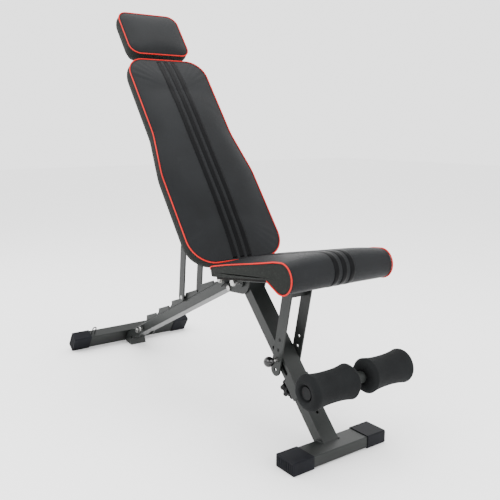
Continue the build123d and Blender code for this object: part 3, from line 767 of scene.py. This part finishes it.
# ---- foam rollers -------------------------------------------------------------
def foam_roller(name, hand):
    """Waisted foam sleeve with rolled ends and a recessed outer face."""
    inner, outer, big, waist, bore, recess, mouth = 20.0, 163.0, 43.5, 38.0, 12.6, 8.0, 20.5
    profile = [(inner, bore), (inner, 30.0)]
    for step in range(1, 8):
        angle = math.radians(90 * step / 8)
        profile.append((inner + 10 - 10 * math.cos(angle), 30 + 11 * math.sin(angle)))
    for step in range(0, 25):
        share = step / 24
        flare = abs(2 * share - 1) ** 2.2
        profile.append((inner + 11 + (outer - inner - 23) * share, waist + (big - waist) * flare))
    for step in range(1, 9):
        angle = math.radians(90 * step / 8)
        profile.append((outer - 12 + 12 * math.sin(angle), big - 14 + 14 * math.cos(angle)))
    profile += [(outer, 25.0), (outer - 0.8, 22.0), (outer - 3, mouth), (
        outer - recess, mouth - 0.6),
                (outer - recess, bore)]
    around = 96
    points = []
    for along, radius in profile:
        for turn in range(around):
            angle = 2 * math.pi * turn / around
            soft = 0.0
            if radius > 20:
                spot = Vector((along * 0.03, math.cos(angle) * 1.6, math.sin(angle) * 1.6 + hand))
                soft = 0.45 * noise.noise(spot)
            reach = (radius + soft) * MM
            points.append(
                ROLLER_CENTRE + Vector((math.cos(angle) * reach, hand * along * MM, math.sin(angle) * reach)))
    count = len(profile)
    faces = []
    for level in range(count):
        following = (level + 1) % count
        for turn in range(around):
            beyond = (turn + 1) % around
            faces.append((level * around + turn, level * around + beyond,
                          following * around + beyond, following * around + turn))
    mesh = tidy_mesh(mesh_from(name, points, faces, [FOAM]))
    word = "left" if hand > 0 else "right"
    roller = new_piece(name, mesh, f"roller_{word}")
    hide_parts(f"roller_{word}")
    return roller


foam_roller("foam_sleeve_left", 1)
foam_roller("foam_sleeve_right", -1)

# ---- repeated details ---------------------------------------------------------
def node_group(name, sizes):
    """Geometry group with named size inputs, and its input and output nodes."""
    group = bpy.data.node_groups.new(name, "GeometryNodeTree")
    group.interface.new_socket("Geometry", in_out="INPUT", socket_type="NodeSocketGeometry")
    for label, kind in sizes:
        group.interface.new_socket(label, in_out="INPUT", socket_type="NodeSocket" + kind)
    group.interface.new_socket("Geometry", in_out="OUTPUT", socket_type="NodeSocketGeometry")
    return group, group.nodes.new("NodeGroupInput"), group.nodes.new("NodeGroupOutput")


def close_group(group, instances, way_out, material):
    realize = group.nodes.new("GeometryNodeRealizeInstances")
    paint = group.nodes.new("GeometryNodeSetMaterial")
    paint.inputs["Material"].default_value = material
    group.links.new(instances, realize.inputs["Geometry"])
    group.links.new(realize.outputs["Geometry"], paint.inputs["Geometry"])
    group.links.new(paint.outputs["Geometry"], way_out.inputs["Geometry"])


def stitch_group():
    """Capsule stitches spaced along a line of edges, each a little different in size."""
    sizes = (("Spacing", "Float"), ("Length", "Float"), ("Radius", "Float"), ("Seed", "Int"))
    group, way_in, way_out = node_group("stitch_row", sizes)
    link = group.links.new
    curve = group.nodes.new("GeometryNodeMeshToCurve")
    places = group.nodes.new("GeometryNodeCurveToPoints")
    places.mode = "LENGTH"
    link(way_in.outputs["Geometry"], curve.inputs["Mesh"])
    link(curve.outputs["Curve"], places.inputs["Curve"])
    link(way_in.outputs["Spacing"], places.inputs["Length"])
    stitch = group.nodes.new("GeometryNodeMeshCylinder")
    stitch.inputs["Vertices"].default_value = 8
    link(way_in.outputs["Radius"], stitch.inputs["Radius"])
    link(way_in.outputs["Length"], stitch.inputs["Depth"])
    wobble = group.nodes.new("FunctionNodeRandomValue")
    wobble.data_type = "FLOAT"
    low = [socket for socket in wobble.inputs if socket.name == "Min" and socket.enabled][0]
    high = [socket for socket in wobble.inputs if socket.name == "Max" and socket.enabled][0]
    low.default_value = 0.85
    high.default_value = 1.1
    link(way_in.outputs["Seed"], wobble.inputs["Seed"])
    size = [socket for socket in wobble.outputs if socket.enabled][0]
    put = group.nodes.new("GeometryNodeInstanceOnPoints")
    link(places.outputs["Points"], put.inputs["Points"])
    link(stitch.outputs["Mesh"], put.inputs["Instance"])
    link(places.outputs["Rotation"], put.inputs["Rotation"])
    link(size, put.inputs["Scale"])
    close_group(group, put.outputs["Instances"], way_out, THREAD)
    return group


def rib_group():
    """Ribs stood in a row along X, each long in Z and proud in Y."""
    sizes = (
        ("Count", "Int"), ("Pitch", "Float"), ("Width", "Float"), ("Rise", "Float"), ("Length", "Float"))
    group, way_in, way_out = node_group("rib_row", sizes)
    link = group.links.new
    row = group.nodes.new("GeometryNodeMeshLine")
    step = group.nodes.new("ShaderNodeCombineXYZ")
    link(way_in.outputs["Count"], row.inputs["Count"])
    link(way_in.outputs["Pitch"], step.inputs["X"])
    link(step.outputs["Vector"], row.inputs["Offset"])
    rib = group.nodes.new("GeometryNodeMeshCube")
    bulk = group.nodes.new("ShaderNodeCombineXYZ")
    link(way_in.outputs["Width"], bulk.inputs["X"])
    link(way_in.outputs["Rise"], bulk.inputs["Y"])
    link(way_in.outputs["Length"], bulk.inputs["Z"])
    link(bulk.outputs["Vector"], rib.inputs["Size"])
    put = group.nodes.new("GeometryNodeInstanceOnPoints")
    link(row.outputs["Mesh"], put.inputs["Points"])
    link(rib.outputs["Mesh"], put.inputs["Instance"])
    close_group(group, put.outputs["Instances"], way_out, CAP_PLASTIC)
    return group


def grown(name, seed_mesh, group, values):
    """Mesh made by a group from a seed mesh."""
    maker = bpy.data.objects.new(name, seed_mesh)
    bpy.context.scene.collection.objects.link(maker)
    modifier = maker.modifiers.new("maker", "NODES")
    modifier.node_group = group
    for socket in group.interface.items_tree:
        if socket.in_out == "INPUT" and socket.name in values:
            modifier[socket.identifier] = values[socket.name]
    maker.update_tag()
    depsgraph = bpy.context.evaluated_depsgraph_get()
    made = bpy.data.meshes.new_from_object(maker.evaluated_get(depsgraph))
    maker.modifiers.remove(modifier)
    bpy.data.objects.remove(maker)
    return made


def joined(name, meshes, material):
    """One mesh out of several that share one material."""
    shell = bmesh.new()
    for mesh in meshes:
        shell.from_mesh(mesh)
    whole = bpy.data.meshes.new(name)
    shell.to_mesh(whole)
    shell.free()
    whole.materials.append(material)
    for face in whole.polygons:
        face.material_index = 0
    return whole


STITCHES = stitch_group()
STITCH_SIZES = {"Spacing": 0.0042, "Length": 0.0030, "Radius": 0.0003, "Seed": 11}


def stitch_rows(name, lines, surface, inward, body):
    """Stitch rows laid on a cushion's face along closed lines or open ones."""
    rows = []
    for line, closed in lines:
        spots = []
        for point in line:
            hit = surface.ray_cast(point - inward * 0.05, inward)[0]
            spots.append((hit if hit is not None else point) - inward * 0.0002)
        links = [(k, k + 1) for k in range(len(spots) - 1)]
        if closed:
            links.append((len(spots) - 1, 0))
        seed = bpy.data.meshes.new(name)
        seed.from_pydata([tuple(spot) for spot in spots], links, [])
        rows.append(grown(name, seed, STITCHES, STITCH_SIZES))
    new_piece(name, joined(name, rows, THREAD), body)


def inset(seam, outwards, distance):
    return [point - out * distance for point, out in zip(seam, outwards)]


back_out = outward_of(back_seam, OUT_OF_BACK)
edge_lines = [([on_back(along, across + side * 10.0, SEAM) for along in range(40, 752, 8)], False)
              for across in STRIPE_PLACES for side in (-1, 1)]
stitch_rows("back_stitches", [(inset(back_seam, back_out, 0.0042), True)] + edge_lines,
            back_surface, -OUT_OF_BACK, "back")
head_out = outward_of(head_seam, OUT_OF_BACK)
stitch_rows("headrest_stitches", [(inset(head_seam, head_out, 0.0042), True)],
            surface_of(head_cushion), -OUT_OF_BACK, "headrest")
seat_lines = [([on_seat(along, across, 60.0) for along in range(58, 346, 8)], False)
              for across in (-160.0, 160.0, -35.5, -15.5, -10.0, 10.0, 15.5, 35.5)]
stitch_rows("seat_stitches", seat_lines, seat_surface, -OUT_OF_SEAT, "seat")

RIBS = rib_group()
rib_bed = bpy.data.meshes.new("rib_bed")


def cap_ribs(name, nodes, body, lean, sizes):
    """Ribs on the end faces of a pair of caps, turned with the caps' lean."""
    rows = []
    for node in nodes:
        low, high = (Vector(corner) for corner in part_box(node))
        middle = (low + high) / 2
        hand = 1 if middle.y > 0 else -1
        end = high.y if hand > 0 else low.y
        row = grown(name, rib_bed, RIBS, sizes)
        shift = Matrix.Translation((-sizes["Pitch"] * (sizes["Count"] - 1) / 2, 0, 0))
        stand = Matrix.Translation((middle.x, end + hand * 0.0001, middle.z))
        row.transform(stand @ Matrix.Rotation(lean, 4, "Y") @ shift)
        rows.append(row)
    new_piece(name, joined(name, rows, CAP_PLASTIC), body, smooth=False)


cap_ribs("rear_cap_ribs", ("rear_cap_left", "rear_cap_right"), "base", math.radians(-55),
         {"Count": 9, "Pitch": 0.0062, "Width": 0.0020, "Rise": 0.0022, "Length": 0.029})
cap_ribs("front_cap_ribs", ("front_cap_left", "front_cap_right"), "leg", 0.0,
         {"Count": 9, "Pitch": 0.0068, "Width": 0.0022, "Rise": 0.0022, "Length": 0.025})


# ---- plugs and welds ------------------------------------------------------------
def end_plug(name, spots, body):
    """Flat moulded plugs in open tube ends: (centre, ahead, up, half width, half height)."""
    points = []
    faces = []
    for centre, ahead, up, half_width, half_height in spots:
        first = len(points)
        for depth, shrink in ((-0.004, 1.0), (0.0008, 1.0), (0.0020, 0.86)):
            for sign_a, sign_b in ((-1, -1), (1, -1), (1, 1), (-1, 1)):
                points.append(centre + ahead * depth + ACROSS * (sign_a * half_width * shrink)
                              + up * (sign_b * half_height * shrink))
        for level in (0, 4):
            for k in range(4):
                following = (k + 1) % 4
                faces.append((first + level + k, first + level + following,
                              first + level + 4 + following, first + level + 4 + k))
        faces.append((first + 8, first + 9, first + 10, first + 11))
        faces.append((first + 3, first + 2, first + 1, first))
    mesh = tidy_mesh(mesh_from(name, points, faces, [PLUG_PLASTIC]))
    plug = new_piece(name, mesh, body, smooth=False)
    edge = plug.modifiers.new("edge", "BEVEL")
    edge.width = 0.0006
    edge.segments = 2
    return plug


BACK_PLUG_HALVES = (0.0081, 0.0131)
SEAT_PLUG_HALVES = (0.0081, 0.0081)
back_low, back_high = (Vector(corner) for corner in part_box("back_bar_left"))
BAR_MIDDLE = (back_low.y + back_high.y) * 500
end_plug("back_bar_plugs", [
    (on_back(along, hand * BAR_MIDDLE, 0), UP_BACK * way, OUT_OF_BACK, *BACK_PLUG_HALVES)
    for along, way in ((640, 1), (-18, -1)) for hand in (-1, 1)], "back")
end_plug("seat_bar_plugs", [
    (on_seat(along, hand * BAR_MIDDLE, 14), ALONG_SEAT * way, OUT_OF_SEAT, *SEAT_PLUG_HALVES)
    for along, way in ((240, 1), (-25, -1)) for hand in (-1, 1)], "seat")


def weld_bead(name, path, body, radius=0.0022):
    points, faces = tube(
        evened(path, 0.0016, closed=False), radius, closed=False, sides=8, ripple=0.16)
    return new_piece(name, tidy_mesh(mesh_from(name, points, faces, [WELD])), body)


foot_low, foot_high = (Vector(corner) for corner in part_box("front_foot_tube"))
for word, hand in (("left", 1), ("right", -1)):
    weld_bead(f"leg_weld_{word}", [
        Vector((foot_low.x + 0.0008, hand * 0.0266, foot_high.z)),
        Vector((foot_low.x + 0.0280, hand * 0.0266, foot_high.z + 0.0004))], "leg")

# ---- camera, light and floor ----------------------------------------------------
CAMERA_PLACE = Vector((1.6859, -1.0951, 0.8185))
CAMERA_TARGET = Vector((0.1751, 0.0, 0.4756))
camera_data = bpy.data.cameras.new("camera")
camera_data.lens = 47.82
camera_data.sensor_width = 36
camera = bpy.data.objects.new("camera", camera_data)
camera.location = CAMERA_PLACE
camera.rotation_euler = (CAMERA_TARGET - CAMERA_PLACE).to_track_quat("-Z", "Y").to_euler()
bpy.context.scene.collection.objects.link(camera)
bpy.context.scene.camera = camera


def softbox(name, place, target, size, power):
    data = bpy.data.lights.new(name, "AREA")
    data.shape = "RECTANGLE"
    data.size, data.size_y = size
    data.energy = power
    lamp = bpy.data.objects.new(name, data)
    lamp.location = place
    lamp.rotation_euler = (Vector(target) - Vector(place)).to_track_quat("-Z", "Y").to_euler()
    bpy.context.scene.collection.objects.link(lamp)


softbox("key_softbox", (1.2, -2.6, 2.6), (0.1, 0, 0.5), (2.2, 1.6), 78)
softbox("front_softbox", (3.0, 0.9, 1.8), (0.1, 0, 0.5), (1.6, 2.2), 52)
softbox("top_softbox", (-0.3, 0.2, 3.2), (0, 0, 0.4), (2.6, 2.0), 62)
softbox("rim_softbox", (-2.4, -1.4, 1.5), (0, 0, 0.6), (1.4, 2.0), 26)

floor_mesh = bpy.data.meshes.new("floor")
floor_mesh.from_pydata(
    [(-12, -12, -0.0006), (12, -12, -0.0006), (12, 12, -0.0006), (-12, 12, -0.0006)], [], [(0, 1, 2, 3)])
floor = bpy.data.objects.new("floor", floor_mesh)
bpy.context.scene.collection.objects.link(floor)
floor_finish = Shader("pale_floor")
floor_finish.set(Base_Color=(0.93, 0.93, 0.93, 1), Roughness=0.7)
floor_mesh.materials.append(floor_finish.material)
world = bpy.data.worlds.new("studio")
world.use_nodes = True
world.node_tree.nodes["Background"].inputs["Color"].default_value = (1, 1, 1, 1)
world.node_tree.nodes["Background"].inputs["Strength"].default_value = 2.4
bpy.context.scene.world = world
